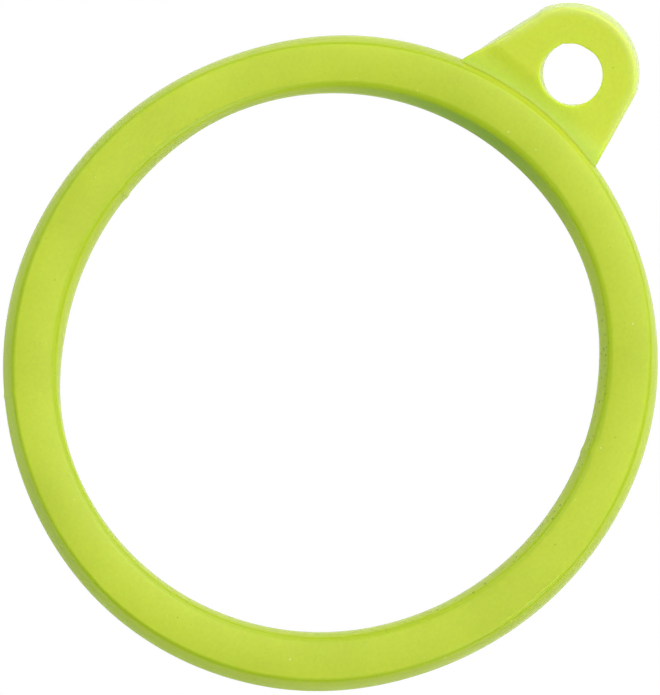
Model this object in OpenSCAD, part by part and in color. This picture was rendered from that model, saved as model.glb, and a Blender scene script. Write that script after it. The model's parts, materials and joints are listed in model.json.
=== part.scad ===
// Stretch ring with an eyelet tab, moulded in soft silicone.
// The band grips a round handle, and the tab on its rim carries a cord eye.
// The band's axis is Z, its mid-plane is Z = 0, and the tab points along +X.
// The tab bends where it meets the band, about a line parallel to Y.

/* [Band] */
// Diameter of the bore, before the band is stretched over a handle
bore_d = 28; // [20:0.5:40]
// Height of the straight wall in the bore
bore_wall_h = 2; // [1:0.1:2.8]
// Radial thickness of the band at its mid-height
band_w = 3; // [2.6:0.1:5]
// Height of the band along its axis
band_h = 3; // [2.4:0.1:5]
// Width of the flat land on the top face and on the bottom face
land_w = 2.4; // [1.6:0.1:2.8]

/* [Tab] */
// Thickness of the tab
tab_t = 1.8; // [1.2:0.1:2.2]
// Angle of the tab's root as seen from the band's centre
root_angle = 28.8; // [26:0.1:34]
// Radius of the tab's round end
end_r = 3.4; // [2.8:0.1:3.6]
// Diameter of the cord eye
eye_d = 3.2; // [2:0.1:3.2]
// Distance from the band's outer wall to the centre of the cord eye
eye_reach = 2.8; // [2.5:0.1:4]

/* [Flex] */
// Distance from the band's outer wall to the line that the tab bends about
flex_reach = 0.8; // [0.7:0.05:0.85]
// Largest bend of the tab, up or down from the band's mid-plane
flex_max = 60; // [30:5:60]
// Set that the tab has taken, up from the band's mid-plane
flex_set = 17; // [0:1:25]
// Gap between the tab's rounded root and its seat
flex_gap = 0.04; // [0.03:0.01:0.08]

/* [Hidden] */

bore_r = bore_d / 2;
band_r = bore_r + band_w;
// Radial depth of the sloping edge on each side of a land
edge_w = (band_w - land_w) / 2;
// Faces that approximate the curve of the outer wall, from top to bottom
wall_steps = 8;

flex_x = band_r + flex_reach;
eye_x = band_r + eye_reach;
knuckle_r = tab_t / 2;
seat_r = knuckle_r + flex_gap;

// Corner where the tab's side leaves the band's outer wall
root_x = band_r * cos(root_angle / 2);
root_y = band_r * sin(root_angle / 2);
// The side runs straight from the root corner and touches the round end at this angle
corner_gap = norm([eye_x - root_x, root_y]);
side_touch_angle = 180 - atan2(root_y, eye_x - root_x) - acos(end_r / corner_gap);
side_touch_x = eye_x + end_r * cos(side_touch_angle);
side_touch_y = end_r * sin(side_touch_angle);
// Half width of the tab where it starts to bend
flex_half_w = root_y + (side_touch_y - root_y) * (flex_x - root_x) / (side_touch_x - root_x);
// Reach of the cutting solids past the surfaces that they cut
past = 1;

band_color = [0.76, 0.84, 0.28];
tab_color = [0.78, 0.87, 0.28];

// Radius of the band's outer wall at a height, widest on the parting line
function wall_r(z) = band_r - edge_w * pow(2 * z / band_h, 2);

module band_section() {
    outer_wall = [
        for (i = [0 : wall_steps])
            let (z = band_h * (0.5 - i / wall_steps))
            [wall_r(z), z]
    ];
    bore_wall = [
        [bore_r + edge_w, -band_h / 2],
        [bore_r, -bore_wall_h / 2],
        [bore_r, bore_wall_h / 2],
        [bore_r + edge_w, band_h / 2]
    ];
    polygon(concat(outer_wall, bore_wall));
}

// Whole tab seen from above. Its root starts inside the band's wall.
module tab_plan() {
    translate([eye_x, 0])
        circle(r = end_r, $fn = 96);
    polygon([
        [bore_r + band_w / 2, -root_y],
        [root_x, -root_y],
        [side_touch_x, -side_touch_y],
        [side_touch_x, side_touch_y],
        [root_x, root_y],
        [bore_r + band_w / 2, root_y]
    ]);
}

// The stretch of the tab between two places along X, at its full thickness
module tab_plate(from_x, to_x) {
    linear_extrude(height = tab_t, center = true)
        intersection() {
            tab_plan();
            translate([from_x, -band_r])
                square([to_x - from_x, 2 * band_r]);
        }
}

// Space that the tab sweeps between its two limits, in the plane across the bending line
module sweep_section() {
    slope = [cos(flex_max), sin(flex_max)];
    start = (knuckle_r + flex_gap / 2) * [-sin(flex_max), cos(flex_max)];
    reach = band_h;
    polygon([
        [start.x, start.y],
        [start.x + reach * slope.x, start.y + reach * slope.y],
        [start.x + reach * slope.x, -start.y - reach * slope.y],
        [start.x, -start.y]
    ]);
}

// Room for the tab's rounded root and for the tab's swing
module flex_room() {
    room_l = 2 * root_y + past;
    translate([flex_x, 0, 0])
        rotate([90, 0, 0]) {
            cylinder(h = room_l, r = seat_r, center = true, $fn = 64);
            linear_extrude(height = room_l, center = true)
                sweep_section();
        }
}

module ring_band() {
    color(band_color)
        difference() {
            union() {
                rotate_extrude($fn = 180)
                    band_section();
                tab_plate(bore_r, flex_x);
            }
            flex_room();
        }
}

module flat_tab() {
    difference() {
        union() {
            tab_plate(flex_x, eye_x + end_r + past);
            translate([flex_x, 0, 0])
                rotate([90, 0, 0])
                    cylinder(h = 2 * flex_half_w, r = knuckle_r, center = true, $fn = 64);
        }
        translate([eye_x, 0, 0])
            cylinder(h = tab_t + past, r = eye_d / 2, center = true, $fn = 64);
    }
}

module eyelet_tab() {
    color(tab_color)
        translate([flex_x, 0, 0])
            rotate([0, -flex_set, 0])
                translate([-flex_x, 0, 0])
                    flat_tab();
}

ring_band();
eyelet_tab();
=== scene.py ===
"""Soft silicone handle ring with a cord eye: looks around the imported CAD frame.

Lengths are in millimetres until make_mesh() writes them in metres. Angles round the ring are in degrees
from the tab, which points along +X.
"""
import json
import math

import bpy
import numpy as np
from mathutils import Matrix, Vector


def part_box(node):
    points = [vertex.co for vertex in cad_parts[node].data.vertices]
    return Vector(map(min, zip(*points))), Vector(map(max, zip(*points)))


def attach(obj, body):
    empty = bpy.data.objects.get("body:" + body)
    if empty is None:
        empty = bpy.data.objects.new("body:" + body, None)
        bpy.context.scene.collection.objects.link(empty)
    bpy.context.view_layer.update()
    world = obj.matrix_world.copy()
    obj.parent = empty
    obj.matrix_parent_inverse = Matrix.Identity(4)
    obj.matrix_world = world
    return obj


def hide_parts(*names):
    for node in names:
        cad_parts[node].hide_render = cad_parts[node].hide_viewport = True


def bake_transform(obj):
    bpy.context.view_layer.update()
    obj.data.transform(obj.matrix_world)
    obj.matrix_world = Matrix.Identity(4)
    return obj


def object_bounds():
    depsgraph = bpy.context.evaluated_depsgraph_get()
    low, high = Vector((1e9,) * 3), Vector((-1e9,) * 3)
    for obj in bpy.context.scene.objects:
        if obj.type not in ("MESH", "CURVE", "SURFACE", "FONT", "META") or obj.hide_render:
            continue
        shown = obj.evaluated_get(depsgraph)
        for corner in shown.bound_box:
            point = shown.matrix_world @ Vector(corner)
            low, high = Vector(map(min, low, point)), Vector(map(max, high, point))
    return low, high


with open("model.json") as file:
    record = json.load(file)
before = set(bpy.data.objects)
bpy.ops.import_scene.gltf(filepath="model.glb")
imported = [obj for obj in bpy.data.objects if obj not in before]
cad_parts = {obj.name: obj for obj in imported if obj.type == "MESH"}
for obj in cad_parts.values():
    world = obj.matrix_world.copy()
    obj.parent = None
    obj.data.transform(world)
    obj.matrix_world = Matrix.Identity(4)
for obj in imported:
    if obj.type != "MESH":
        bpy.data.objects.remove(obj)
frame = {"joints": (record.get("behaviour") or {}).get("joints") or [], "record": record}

MM = 0.001
CAD_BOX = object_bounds()


# ---------------------------------------------------------------- sizes from the frame

def mount(name):
    """The record's mount of that name."""
    return next(m for m in frame["record"]["mounts"] if m["name"] == name)


def in_mm(point):
    """A point of the frame, in millimetres."""
    return np.array(point, float) / MM


RING_LOW, RING_HIGH = (in_mm(corner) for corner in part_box("ring_band"))
BORE_R = mount("handle_bore")["dims"]["r_mm"]
BAND_R = -RING_LOW[0]
BAND_H = RING_HIGH[2] - RING_LOW[2]
CENTRE_R = (BORE_R + BAND_R) / 2

FLEX_JOINT = frame["joints"][0]
FLEX_X = in_mm(FLEX_JOINT["pos_m"])[0]
EYE = mount("cord_eye")
EYE_R = EYE["dims"]["r_mm"]
TAB_T = EYE["dims"]["length_mm"]
# The tab's set, and how far its eye lies past the line it bends about
FLEX_SET = math.atan2(-EYE["axis"][0], EYE["axis"][2])
EYE_ARM = float(np.linalg.norm(in_mm(EYE["pos_m"]) - in_mm(FLEX_JOINT["pos_m"])))


# ---------------------------------------------------------------- the band's own shape

# How finely the band is meshed: round the ring, and over the parts of its section
BAND_STEPS = 720
COARSE_FACE_POINTS = 9
FINE_FACE_POINTS = 14
EDGE_STEPS = 8
WALL_POINTS = 14
# From this far outside its middle to its outer edge, the top face's points are closer together
FINE_FACE_FROM = 0.7

# Half width of the top face with its rounded edges, the height of its crown over them, and their radius
LAND_HALF = 1.11
CROWN = 0.13
EDGE_R = 0.11
# Direction in which the rounded edge faces where it leaves the top face, in degrees up from level
EDGE_START = 84
# Thin flash on the parting line, half way up both walls
FLASH_OUT = 0.015
FLASH_HALF = 0.05

# How the soft band departs from a true ring, going round from the tab with one value every 30 degrees:
# its centreline's drift off the circle and its walls' bulge at mid-height in mm, and its section's roll in
# degrees, where a positive roll leans the top outwards.
CENTRE_DRIFT = [0.27, 0.17, -0.16, -0.37, -0.19, 0.21, 0.36, 0.17, -0.17, -0.24, -0.05, 0.17]
WALL_BULGE = [0.48, 0.42, 0.30, 0.42, 0.45, 0.25, 0.37, 0.41, 0.38, 0.41, 0.43, 0.35]
SECTION_ROLL = [-3.5, -9, -8, -0.5, 0, -5, -1, 0, -1, -1, -4.5, -2]

# Small moulding marks: angle, side (-1 bore, 1 outside), spread in degrees, how far they stand out
NUBS = [(91, -1, 0.9, 0.07), (291, -1, 0.9, 0.06), (136.5, 1, 0.5, 0.035)]
# The height at which those marks stand out most, and their spread up and down
NUB_Z = 0.5
NUB_TALL = 1.2

# Wavy lip of flash on the top face: its first and last angle, height and width, how far it runs inside
# the face's edge, and its waves, each with a size in mm and a turn in radians over the lip's length
LIP_FROM, LIP_TO = 252, 269
LIP_H = 0.035
LIP_WIDE = 0.035
LIP_INSIDE = 0.17
LIP_WAVES = [(0.03, 9.0), (0.015, 31.0)]


def around(values, angle):
    """Smooth closed curve through values spaced evenly round the ring."""
    count = len(values)
    place = (angle % 360) / 360 * count
    i = int(place)
    f = place - i
    a, b, c, d = (values[(i + k) % count] for k in (-1, 0, 1, 2))
    return b + 0.5 * f * (c - a + f * (2 * a - 5 * b + 4 * c - d + f * (3 * (b - c) + d - a)))


def bump(distance, spread):
    """Smooth hump, 1 at distance 0."""
    return math.exp(-((distance / spread) ** 2))


def smooth(t):
    """Eased step from 0 at t = 0 to 1 at t = 1."""
    t = min(max(t, 0.0), 1.0)
    return t * t * (3 - 2 * t)


def arc(centre, radius, first, last, steps):
    """Points along an arc between two directions in degrees, both ends included."""
    points = []
    for k in range(steps + 1):
        turn = math.radians(first + (last - first) * k / steps)
        points.append((centre[0] + radius * math.cos(turn), centre[1] + radius * math.sin(turn)))
    return points


def crown_height(s):
    """Height of the domed face at s, measured from the section's centre."""
    return BAND_H / 2 - CROWN * (s / LAND_HALF) ** 2


def face_places():
    """Where the top face is sampled, from bore side to outer side, closer together near its outer edge."""
    inner = np.linspace(-(LAND_HALF - EDGE_R), FINE_FACE_FROM, COARSE_FACE_POINTS)
    outer = np.linspace(FINE_FACE_FROM, LAND_HALF - EDGE_R, FINE_FACE_POINTS)
    return list(inner) + list(outer[1:])


def edge_arc(bulge):
    """Rounded edge between the top face and the outer wall, without its ends, as (s, z) points."""
    edge_z = crown_height(LAND_HALF)
    wall_facing = math.degrees(math.atan2(2 * bulge, edge_z))
    centre = (LAND_HALF - EDGE_R, edge_z - EDGE_R)
    return arc(centre, EDGE_R, EDGE_START, wall_facing, EDGE_STEPS)[1:-1]


def wall_heights():
    """Heights at which a wall is sampled, from its edge down to the parting line, without the line itself."""
    edge_z = crown_height(LAND_HALF) - EDGE_R
    return list(np.linspace(edge_z, 3 * FLASH_HALF, WALL_POINTS)) + [FLASH_HALF, FLASH_HALF / 2]


def wall_place(z, bulge):
    """How far out a wall stands at height z."""
    edge_z = crown_height(LAND_HALF)
    flash = FLASH_OUT * max(0.0, 1 - abs(z) / FLASH_HALF)
    return LAND_HALF + bulge * (1 - (z / edge_z) ** 2) + flash


def half_side(bulge):
    """The outer upper quarter of the section, from the face's edge to just above the parting line."""
    return edge_arc(bulge) + [(wall_place(z, bulge), z) for z in wall_heights()]


def lip_height(angle, s):
    """How far the wavy lip of flash raises the top face here."""
    if not LIP_FROM < angle < LIP_TO:
        return 0.0
    along = (angle - LIP_FROM) / (LIP_TO - LIP_FROM)
    fade = math.sin(math.pi * along) ** 0.5
    line = LAND_HALF - LIP_INSIDE + sum(size * math.sin(turn * along) for size, turn in LIP_WAVES)
    return LIP_H * fade * bump(s - line, LIP_WIDE)


def nub_out(angle, side, z):
    """How far the moulding marks push a wall out here."""
    total = 0.0
    for place, mark_side, spread, height in NUBS:
        if mark_side == side:
            total += height * bump(angle - place, spread) * bump(z - NUB_Z, NUB_TALL)
    return total


def band_section(angle):
    """Closed section of the band as (radius, z) points, clockwise from the top face's bore edge."""
    bulge = around(WALL_BULGE, angle)
    side_points = half_side(bulge)
    middle = wall_place(0, bulge)
    top = [(s, crown_height(s) + lip_height(angle, s)) for s in face_places()]
    bottom = [(s, -crown_height(s)) for s in reversed(face_places())]
    right = side_points + [(middle, 0.0)] + [(s, -z) for s, z in reversed(side_points)]
    left = [(-s, -z) for s, z in right]
    points = []
    for part, side in ((top, 0), (right, 1), (bottom, 0), (left, -1)):
        for s, z in part:
            points.append((s + side * nub_out(angle, side, z) if side else s, z))
    roll = math.radians(around(SECTION_ROLL, angle))
    radius = CENTRE_R + around(CENTRE_DRIFT, angle)
    turned = []
    for s, z in points:
        out = s * math.cos(roll) + z * math.sin(roll)
        up = -s * math.sin(roll) + z * math.cos(roll)
        turned.append((radius + out, up))
    return turned


# ---------------------------------------------------------------- mesh helpers

def make_mesh(name, points, faces, layout):
    """A piece from points in millimetres.

    layout holds one (u, v) for each corner of each face, in millimetres.
    """
    mesh = bpy.data.meshes.new(name)
    mesh.from_pydata([tuple(MM * c for c in p) for p in points], [], faces)
    mesh.validate()
    flat = mesh.uv_layers.new(name="surface_mm")
    flat.data.foreach_set("uv", np.array(layout, np.float32).ravel())
    mesh.polygons.foreach_set("use_smooth", [True] * len(mesh.polygons))
    mesh.update()
    # How far each point's surface faces up or down: 1 on the flat faces, 0 on the walls
    facing = mesh.attributes.new("facing", "FLOAT", "POINT")
    facing.data.foreach_set("value", [abs(vertex.normal.z) for vertex in mesh.vertices])
    piece = bpy.data.objects.new(name, mesh)
    bpy.context.scene.collection.objects.link(piece)
    return piece


def loops_mesh(name, loops, along):
    """A closed tube from equal loops of points, with along[i] the distance of loop i along the tube."""
    count, size = len(loops), len(loops[0])
    points = [p for loop in loops for p in loop]
    across = [0.0]
    for k in range(1, size + 1):
        across.append(across[-1] + float(np.linalg.norm(np.subtract(loops[0][k % size], loops[0][k - 1]))))
    faces, layout = [], []
    for i in range(count):
        j = (i + 1) % count
        for k in range(size):
            m = (k + 1) % size
            faces.append((i * size + k, i * size + m, j * size + m, j * size + k))
            layout += [(along[i], across[k]), (along[i], across[k + 1]),
                       (along[i + 1], across[k + 1]), (along[i + 1], across[k])]
    return make_mesh(name, points, faces, layout)


# ---------------------------------------------------------------- the band

def build_band():
    """The band, swept round the ring from the tab."""
    loops = []
    for i in range(BAND_STEPS):
        angle = 360 * i / BAND_STEPS
        turn = math.radians(angle)
        loops.append([(r * math.cos(turn), r * math.sin(turn), z) for r, z in band_section(angle)])
    along = [2 * math.pi * CENTRE_R * i / BAND_STEPS for i in range(BAND_STEPS + 1)]
    return loops_mesh("silicone_band", loops, along)


# ---------------------------------------------------------------- the tab

# The tab's outline in the flat, measured from the eye's centre: x away from the band, y to the left.
# Each side runs straight from a root corner inside the band's wall towards its shoulder, and the round end
# runs between the shoulders.
LEFT_SIDE = ((-3.8, 4.98), (0.75, 3.46))
RIGHT_SIDE = ((-3.8, -4.22), (1.8, -3.11))
END_CENTRE = (-0.14, 0.08)
END_R = 3.58
LEFT_SHOULDER = 67
RIGHT_SHOULDER = -66
# Each shoulder is blended over this many degrees
SHOULDER_BLEND = 7
# The eye and the outline are this far to the left of the tab's middle
TAB_OFF = 0.11
TAB_EDGE_R = 0.18
EYE_EDGE_R = 0.05
# The outer walls spread by this much from the top face to the bottom face
DRAFT = 0.07
# The eye's radius is this much over the mount's
EYE_WIDER = 0.03
# The eye is a little uneven, with a flat on its far side and a nick to the left of it: each mark's angle,
# spread in degrees, and how far it moves the wall out
EYE_MARKS = [(9, 14, -0.05), (57, 5, 0.07)]
# The eye's lower rim is off its upper rim by this much
EYE_LEAN = (-0.04, -0.14)
# Small fillet between the tab's faces and the band's wall: its reach from the band's axis, and its rise
FILLET_FROM, FILLET_TO = 16.98, 17.4
FILLET_RISE = 0.12
# The bent tab is also twisted about its own length, left side up
TWIST = math.radians(3)
# Where the tab starts to bend into its set and where it has bent fully
BEND_HALF = 0.9
BEND_FROM = FLEX_X - BEND_HALF
BEND_TO = FLEX_X + BEND_HALF
# The tab's colour has a painted pale highlight from its outline to this far inside it
RIM_WIDE = 0.55
# How finely the tab is meshed: round the eye, and over the parts of its section
TAB_STEPS = 360
FACE_STEPS = 26
EYE_EDGE_STEPS = 5
END_EDGE_STEPS = 10
HALF_WALL_STEPS = 4
# Middle radius of the tab's loops, for the layout of its surface
LAYOUT_R = 2.5


def line_hit(direction, a, b):
    """Distance from the eye's centre, along a direction, to the line through a and b."""
    edge = (b[0] - a[0], b[1] - a[1])
    cross = direction[0] * edge[1] - direction[1] * edge[0]
    reach = (a[0] * edge[1] - a[1] * edge[0]) / cross if abs(cross) > 1e-9 else -1
    return reach if reach > 0 else math.inf


def arc_hit(direction):
    """Distance from the eye's centre, along a direction, to the round end."""
    along = direction[0] * END_CENTRE[0] + direction[1] * END_CENTRE[1]
    off = END_CENTRE[0] ** 2 + END_CENTRE[1] ** 2 - END_R ** 2
    return along + math.sqrt(along * along - off)


def tab_reach(angle):
    """Distance from the eye's centre to the tab's outline at an angle."""
    direction = (math.cos(math.radians(angle)), math.sin(math.radians(angle)))
    past_shoulder = max(angle - LEFT_SHOULDER, RIGHT_SHOULDER - angle)
    if past_shoulder < -SHOULDER_BLEND / 2:
        return arc_hit(direction)
    side = LEFT_SIDE if angle > 0 else RIGHT_SIDE
    straight = min(line_hit(direction, *side), line_hit(direction, LEFT_SIDE[0], RIGHT_SIDE[0]))
    if past_shoulder > SHOULDER_BLEND / 2:
        return straight
    share = smooth(past_shoulder / SHOULDER_BLEND + 0.5)
    return arc_hit(direction) * (1 - share) + straight * share


def eye_radius(angle):
    """Radius of the uneven eye at an angle."""
    marks = sum(out * bump(angle - place, spread) for place, spread, out in EYE_MARKS)
    return EYE_R + EYE_WIDER + marks


def tab_section(angle):
    """Closed section of the flat tab along one direction from the eye, as (distance, z) points."""
    near, far = eye_radius(angle), tab_reach(angle)
    half = TAB_T / 2
    eye_edge = arc((near + EYE_EDGE_R, half - EYE_EDGE_R), EYE_EDGE_R, 180, 90, EYE_EDGE_STEPS)
    end_edge = arc((far - TAB_EDGE_R, half - TAB_EDGE_R), TAB_EDGE_R, 90, 0, END_EDGE_STEPS)
    start, stop = eye_edge[-1][0], end_edge[0][0]
    face = [(start + (stop - start) * k / FACE_STEPS, half) for k in range(1, FACE_STEPS)]
    eye_wall = [(near, z) for z in np.linspace(0, half - EYE_EDGE_R, HALF_WALL_STEPS + 1)[:-1]]
    end_wall = [(far, z) for z in np.linspace(half - TAB_EDGE_R, 0, HALF_WALL_STEPS + 1)[1:]]
    upper = eye_wall + eye_edge + face + end_edge + end_wall
    lower = [(d, -z) for d, z in reversed(upper[1:-1])]
    return upper + lower


def moulded(angle, distance, z):
    """A point of the flat tab, in the frame, with the draft, the eye's lean and the root's fillet."""
    near, far = eye_radius(angle), tab_reach(angle)
    below = 0.5 - z / TAB_T
    out = (distance - near) / (far - near)
    distance += DRAFT * below * out
    turn = math.radians(angle)
    x = FLEX_X + EYE_ARM + distance * math.cos(turn) + EYE_LEAN[0] * below * (1 - out)
    y = TAB_OFF + distance * math.sin(turn) + EYE_LEAN[1] * below * (1 - out)
    climb = 1 - (math.hypot(x, y) - FILLET_FROM) / (FILLET_TO - FILLET_FROM)
    climb = min(max(climb, 0.0), 1.0)
    z *= 1 + FILLET_RISE * climb ** 2 / (TAB_T / 2)
    return x, y, z


def bent(x, y, z):
    """A point of the flat tab after the tab has taken its set."""
    share = smooth((x - BEND_FROM) / (BEND_TO - BEND_FROM))
    turn, twist = FLEX_SET * share, TWIST * share
    y, z = y * math.cos(twist) - z * math.sin(twist), y * math.sin(twist) + z * math.cos(twist)
    arm = x - FLEX_X
    return FLEX_X + arm * math.cos(turn) - z * math.sin(turn), y, arm * math.sin(turn) + z * math.cos(turn)


def build_tab():
    """The tab in its set, swept round its eye."""
    loops, rims = [], []
    for i in range(TAB_STEPS):
        angle = -180 + 360 * (i + 0.5) / TAB_STEPS
        section = tab_section(angle)[::-1]
        loops.append([bent(*moulded(angle, distance, z)) for distance, z in section])
        rims += [smooth(1 - (tab_reach(angle) - distance) / RIM_WIDE) for distance, z in section]
    along = [2 * math.pi * LAYOUT_R * i / TAB_STEPS for i in range(TAB_STEPS + 1)]
    piece = loops_mesh("silicone_tab", loops, along)
    # 1 at the tab's outline, fading to 0 inside it, for the painted pale highlight of its material
    rim = piece.data.attributes.new("rim", "FLOAT", "POINT")
    rim.data.foreach_set("value", rims)
    return piece


# ---------------------------------------------------------------- materials

class Nodes:
    """Short way to build a node material."""

    def __init__(self, name):
        self.material = bpy.data.materials.new(name)
        self.material.use_nodes = True
        self.tree = self.material.node_tree
        self.shader = self.tree.nodes["Principled BSDF"]

    def add(self, kind, links=None, **settings):
        """A new node, with its settings and with a value or a link for each input in links."""
        node = self.tree.nodes.new("ShaderNode" + kind)
        for key, value in settings.items():
            setattr(node, key, value)
        for socket, source in (links or {}).items():
            self.put(node, socket, source)
        return node

    def put(self, node, socket, source):
        """Link a source to an input, or set the input if the source is a plain value."""
        if isinstance(source, bpy.types.NodeSocket):
            self.tree.links.new(source, node.inputs[socket])
        else:
            node.inputs[socket].default_value = source

    def math(self, operation, a, b=0.0):
        return self.add("Math", {0: a, 1: b}, operation=operation).outputs[0]

    def ramp(self, value, low, high, kind="LINEAR"):
        """0 at low, 1 at high, clamped."""
        node = self.add("MapRange", {"Value": value, "From Min": low, "From Max": high},
                        interpolation_type=kind)
        return node.outputs["Result"]

    def between(self, share, low, high):
        """low where the share is 0, high where it is 1."""
        node = self.add("MapRange", {"Value": share, "To Min": low, "To Max": high})
        return node.outputs["Result"]

    def mix(self, factor, a, b, blend="MIX"):
        node = self.add("Mix", data_type="RGBA", blend_type=blend)
        for index, source in ((0, factor), (6, a), (7, b)):
            self.put(node, index, source)
        return node.outputs[2]


# Half the thickness of a lint hair, in mm. Hairs are broken where a fine pattern is under this share.
LINT_HALF = 0.012
LINT_BROKEN = 0.60

# Colours of what lies on the silicone, as linear RGB and alpha
DUST_COLOUR = (0.86, 0.88, 0.62, 1)
DIRT_COLOUR = (0.14, 0.17, 0.03, 1)
LINT_COLOUR = (0.25, 0.33, 0.05, 1)
GRIME_COLOUR = (0.05, 0.10, 0.03, 1)
# The colour is multiplied by this where the fine grain is darkest
GRAIN_DARK = (0.95, 0.95, 0.93, 1)
WHITE = (1, 1, 1, 1)

# Sizes of the patterns, in cycles per metre
CLOUD_SCALE = 160.0
GRAIN_SCALE = 5200.0
LINT_BREAK_SCALE = 2600.0

WALL_ROUGHNESS = 0.16
FACE_ROUGHNESS = 0.5
SILICONE_IOR = 1.46
# The grain's height in mm, and its strength on the faces
GRAIN_H = 0.02
GRAIN_STRENGTH = 0.25
# How far light travels inside the silicone, in mm, and the share of that for red, green and blue
SCATTER = 0.5
SCATTER_SHARES = (0.7, 0.95, 0.3)

# Distances from the ring's axis, in mm, between which the tab's painted root shade and its painted pale rim
# highlight fade
ROOT_FULL, ROOT_GONE = 17.1, 18.5
RIM_GONE, RIM_FULL = 17.6, 19.2
# Distances along X, in mm, between which the painted shade of the band's creases fades out at the tab
CREASE_FULL, CREASE_GONE = 16.0, 16.6


def speck_mask(nodes, coords, cell, size, share):
    """Round specks in a share of the cells of a scattered pattern. cell and size are in millimetres."""
    cells = nodes.add("TexVoronoi", {"Vector": coords, "Scale": 1 / (cell * MM), "Randomness": 1.0})
    chosen = nodes.add("SeparateColor", {"Color": cells.outputs["Color"]})
    keep = nodes.math("LESS_THAN", chosen.outputs[0], share)
    limit = nodes.between(chosen.outputs[1], 0.3 * size / cell, size / cell)
    inside = nodes.math("LESS_THAN", cells.outputs["Distance"], limit)
    return nodes.math("MULTIPLY", keep, inside)


def lint_mask(nodes, coords, cell, radius, share):
    """Short curved hairs: pieces of fine rings in a share of the cells of a scattered pattern.

    cell and radius are in millimetres.
    """
    cells = nodes.add("TexVoronoi", {"Vector": coords, "Scale": 1 / (cell * MM), "Randomness": 1.0})
    chosen = nodes.add("SeparateColor", {"Color": cells.outputs["Color"]})
    keep = nodes.math("LESS_THAN", chosen.outputs[2], share)
    off_ring = nodes.math("ABSOLUTE", nodes.math("SUBTRACT", cells.outputs["Distance"], radius / cell))
    on_ring = nodes.math("LESS_THAN", off_ring, LINT_HALF / cell)
    patch = nodes.add("TexNoise", {"Vector": coords, "Scale": LINT_BREAK_SCALE, "Detail": 0.0})
    whole = nodes.math("GREATER_THAN", patch.outputs["Fac"], LINT_BROKEN)
    return nodes.math("MULTIPLY", nodes.math("MULTIPLY", keep, on_ring), whole)


def axis_distance(nodes, place):
    """Distance from the ring's axis."""
    axes = nodes.add("SeparateXYZ", {"Vector": place}).outputs
    flat = nodes.add("CombineXYZ", {0: axes["X"], 1: axes["Y"]}).outputs[0]
    return nodes.add("VectorMath", {0: flat}, operation="LENGTH").outputs["Value"]


def bore_sector(nodes, place, middle, full, none):
    """1 on the bore wall within full degrees of the angle middle, fading to 0 at none degrees from it."""
    axes = nodes.add("SeparateXYZ", {"Vector": place}).outputs
    facing = nodes.add("Attribute", attribute_name="facing").outputs["Fac"]
    inside = nodes.math("LESS_THAN", axis_distance(nodes, place), CENTRE_R * MM)
    in_bore = nodes.math("MULTIPLY", inside, nodes.ramp(facing, 0.85, 0.60))
    turned = nodes.math("SUBTRACT", nodes.math("ARCTAN2", axes["Y"], axes["X"]), math.radians(middle))
    away = nodes.math("ABSOLUTE", turned)
    near = nodes.ramp(away, math.radians(none), math.radians(full), "SMOOTHSTEP")
    return nodes.math("MULTIPLY", in_bore, near)


def painted_shade_behind_tab(nodes, place):
    """1 on the bore wall behind the tab's root, where the colour takes painted shade."""
    return bore_sector(nodes, place, middle=9, full=3, none=40)


def grubby_bore(nodes, place):
    """Dark flecks of dirt on the side of the bore wall that has been handled most."""
    where = bore_sector(nodes, place, middle=-82, full=35, none=55)
    return nodes.math("MULTIPLY", where, speck_mask(nodes, place, cell=0.26, size=0.085, share=0.6))


def painted_root_shade(nodes, place):
    """1 where the tab leaves the band's wall, fading along the tab: where the colour takes painted shade."""
    return nodes.ramp(axis_distance(nodes, place), ROOT_GONE * MM, ROOT_FULL * MM, "SMOOTHSTEP")


def painted_rim_highlight(nodes, place):
    """1 on the tab's outer walls, fading into its faces and towards its root: where the colour takes a
    painted pale highlight.
    """
    rim = nodes.add("Attribute", attribute_name="rim").outputs["Fac"]
    off_root = nodes.ramp(axis_distance(nodes, place), RIM_GONE * MM, RIM_FULL * MM)
    return nodes.math("MULTIPLY", rim, off_root)


def painted_crease_shade(nodes, place):
    """1 on the rounded edges between the band's faces and walls, where the colour takes painted shade."""
    facing = nodes.add("Attribute", attribute_name="facing").outputs["Fac"]
    rounded = nodes.math("MULTIPLY", nodes.ramp(facing, 0.50, 0.68), nodes.ramp(facing, 0.95, 0.88))
    x = nodes.add("SeparateXYZ", {"Vector": place}).outputs["X"]
    off_tab = nodes.ramp(x, CREASE_GONE * MM, CREASE_FULL * MM)
    return nodes.math("MULTIPLY", rounded, off_tab)


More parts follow.
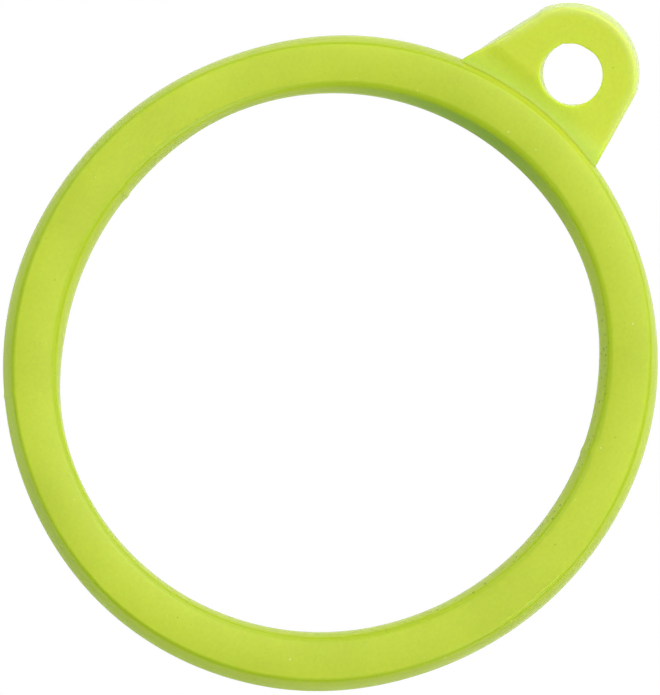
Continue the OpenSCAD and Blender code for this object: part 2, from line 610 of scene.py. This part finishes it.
def silicone(name, deep, light, painted_shade_place, painted_shade_colour, painted_edge_place, edge, grime_place=None):
    """Moulded translucent silicone: cloudy colour, dust in and on it, and a fine satin grain on its faces.

    The colour clouds between deep and light, takes painted shade where the first place function finds it, and
    takes a painted edge colour where the second finds an edge. grime_place finds where it is grimy.
    """
    nodes = Nodes(name)
    place = nodes.add("TexCoord").outputs["Object"]
    cloud = nodes.add("TexNoise", {"Vector": place, "Scale": CLOUD_SCALE, "Detail": 3.0})
    clouded_colour = nodes.mix(nodes.ramp(cloud.outputs["Fac"], 0.35, 0.65), deep, light)
    # Painted shade: on the bore wall behind the tab, and where the tab leaves the band
    body = nodes.mix(painted_shade_place(nodes, place), clouded_colour, painted_shade_colour)
    # Painted edge colour: painted shade on the band's rounded creases, a painted pale highlight on the tab's
    # rim
    base = nodes.mix(painted_edge_place(nodes, place), body, edge)
    fine = nodes.add("TexNoise", {"Vector": place, "Scale": GRAIN_SCALE, "Detail": 2.0})
    grainy = nodes.mix(nodes.ramp(fine.outputs["Fac"], 0.3, 0.7), GRAIN_DARK, WHITE)
    colour = nodes.mix(1.0, base, grainy, blend="MULTIPLY")
    # What lies on the silicone: where, how strongly it shows, and its colour
    marks = [
        (speck_mask(nodes, place, cell=0.75, size=0.055, share=0.40), 0.45, DUST_COLOUR),
        (speck_mask(nodes, place, cell=0.62, size=0.045, share=0.35), 0.45, DIRT_COLOUR),
        (lint_mask(nodes, place, cell=1.1, radius=0.26, share=0.35), 0.22, LINT_COLOUR),
    ]
    if grime_place:
        marks.append((grime_place(nodes, place), 0.5, GRIME_COLOUR))
    for mask, strength, mark_colour in marks:
        colour = nodes.mix(nodes.math("MULTIPLY", mask, strength), colour, mark_colour)
    nodes.put(nodes.shader, "Base Color", colour)
    facing = nodes.add("Attribute", attribute_name="facing").outputs["Fac"]
    face_on = nodes.ramp(facing, 0.75, 0.95)
    nodes.put(nodes.shader, "Roughness", nodes.between(face_on, WALL_ROUGHNESS, FACE_ROUGHNESS))
    nodes.put(nodes.shader, "IOR", SILICONE_IOR)
    nodes.put(nodes.shader, "Subsurface Weight", 1.0)
    nodes.put(nodes.shader, "Subsurface Radius", SCATTER_SHARES)
    nodes.put(nodes.shader, "Subsurface Scale", SCATTER * MM)
    grain = nodes.add("Bump", {"Distance": GRAIN_H * MM, "Height": fine.outputs["Fac"]})
    nodes.put(grain, "Strength", nodes.math("MULTIPLY", face_on, GRAIN_STRENGTH))
    nodes.put(nodes.shader, "Normal", grain.outputs["Normal"])
    return nodes.material


# ---------------------------------------------------------------- stage, lights and camera

# The floor stands this far under the ring, so that the tab clears it when it is bent right down
FLOOR_DROP = 4.5
# Half the floor's side, in metres, and how much of the light it sends back
FLOOR_HALF = 0.6
FLOOR_PALE = 0.8
# Weak green light from all round, which stands for light that has passed through the silicone
GREEN_FILL = (0.27, 0.43, 0.04)


def white_floor(z):
    """A plain floor that looks pure white to the camera and sends a modest light back up."""
    mesh = bpy.data.meshes.new("floor")
    signs = [(-1, -1), (1, -1), (1, 1), (-1, 1)]
    corners = [(a * FLOOR_HALF, b * FLOOR_HALF, z) for a, b in signs]
    mesh.from_pydata(corners, [], [(0, 1, 2, 3)])
    floor = bpy.data.objects.new("floor", mesh)
    bpy.context.scene.collection.objects.link(floor)
    nodes = Nodes("floor_white")
    nodes.put(nodes.shader, "Base Color", (FLOOR_PALE, FLOOR_PALE, FLOOR_PALE, 1))
    nodes.put(nodes.shader, "Roughness", 0.9)
    glow = nodes.add("Emission", {"Color": WHITE, "Strength": 1.0})
    seen = nodes.add("LightPath")
    both = nodes.add("MixShader", {0: seen.outputs["Is Camera Ray"]})
    nodes.tree.links.new(nodes.shader.outputs[0], both.inputs[1])
    nodes.tree.links.new(glow.outputs[0], both.inputs[2])
    nodes.tree.links.new(both.outputs[0], nodes.tree.nodes["Material Output"].inputs[0])
    mesh.materials.append(nodes.material)


def softbox(name, azimuth, elevation, distance, size, watts):
    """A square soft light that looks at the ring's centre. distance and size are in metres."""
    lamp = bpy.data.lights.new(name, "AREA")
    lamp.size = size
    lamp.energy = watts
    light = bpy.data.objects.new(name, lamp)
    a, e = math.radians(azimuth), math.radians(elevation)
    place = distance * Vector((math.cos(a) * math.cos(e), math.sin(a) * math.cos(e), math.sin(e)))
    light.matrix_world = Matrix.Translation(place) @ place.to_track_quat("Z", "Y").to_matrix().to_4x4()
    bpy.context.scene.collection.objects.link(light)


def sky(color):
    """Even light of one colour from all round."""
    world = bpy.data.worlds.new("studio")
    bpy.context.scene.world = world
    world.use_nodes = True
    background = world.node_tree.nodes["Background"]
    background.inputs["Color"].default_value = (*color, 1)


# The camera leans off the ring's axis by VIEW_TILT towards VIEW_AZIMUTH, and the tab points up and right
# in the picture, TAB_IN_PICTURE degrees above level
VIEW_TILT = 8
VIEW_AZIMUTH = 188
VIEW_DISTANCE = 450
TAB_IN_PICTURE = 50.07
# Width that the picture takes in at the ring, and the width of the camera's sensor
PICTURE_WIDTH_MM = 34.19
SENSOR_MM = 36
# The ring's centre stands this far from the picture's centre, right and down
CENTRE_RIGHT, CENTRE_DOWN = 0.016, 0.743


def make_camera():
    """The camera that looks down on the ring as the photograph does."""
    tilt, azimuth = math.radians(VIEW_TILT), math.radians(VIEW_AZIMUTH)
    back = Vector((math.sin(tilt) * math.cos(azimuth), math.sin(tilt) * math.sin(azimuth), math.cos(tilt)))
    top = math.radians(90 - TAB_IN_PICTURE)
    up = Vector((math.cos(top), math.sin(top), 0))
    up = (up - up.dot(back) * back).normalized()
    right = up.cross(back)
    place = VIEW_DISTANCE * back - CENTRE_RIGHT * right + CENTRE_DOWN * up
    lens = bpy.data.cameras.new("camera")
    lens.sensor_fit = "HORIZONTAL"
    lens.sensor_width = SENSOR_MM
    lens.lens = VIEW_DISTANCE * SENSOR_MM / PICTURE_WIDTH_MM
    lens.clip_start = 0.01
    camera = bpy.data.objects.new("camera", lens)
    turn = Matrix((right, up, back)).transposed().to_4x4()
    camera.matrix_world = Matrix.Translation(MM * place) @ turn
    bpy.context.scene.collection.objects.link(camera)
    bpy.context.scene.camera = camera


# ---------------------------------------------------------------- put it together

band = build_band()
band.data.materials.append(silicone(
    "band_silicone",
    deep=(0.52, 0.56, 0.045, 1),
    light=(0.57, 0.61, 0.055, 1),
    # Painted shade on the bore wall behind the tab
    painted_shade_place=painted_shade_behind_tab,
    painted_shade_colour=(0.30, 0.42, 0.022, 1),
    # Painted shade on the band's rounded creases
    painted_edge_place=painted_crease_shade,
    edge=(0.48, 0.55, 0.042, 1),
    grime_place=grubby_bore,
))
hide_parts("ring_band")
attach(band, "ring")

tab = build_tab()
tab.data.materials.append(silicone(
    "tab_silicone",
    deep=(0.64, 0.66, 0.072, 1),
    light=(0.68, 0.70, 0.086, 1),
    # Painted shade where the tab leaves the band
    painted_shade_place=painted_root_shade,
    painted_shade_colour=(0.49, 0.59, 0.047, 1),
    # Painted pale highlight on the tab's rim and outer walls
    painted_edge_place=painted_rim_highlight,
    edge=(0.71, 0.71, 0.25, 1),
))
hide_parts("eyelet_tab")
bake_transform(tab)

bpy.context.scene.view_settings.view_transform = "Standard"
white_floor(CAD_BOX[0][2] - FLOOR_DROP * MM)
sky(GREEN_FILL)
softbox("overhead", azimuth=0, elevation=90, distance=0.6, size=0.6, watts=1.1)
softbox("key", azimuth=-5, elevation=48, distance=0.6, size=0.3, watts=1.95)
softbox("upper_left", azimuth=85, elevation=35, distance=0.6, size=0.35, watts=0.5)
softbox("lower_right", azimuth=265, elevation=35, distance=0.6, size=0.35, watts=0.9)
make_camera()
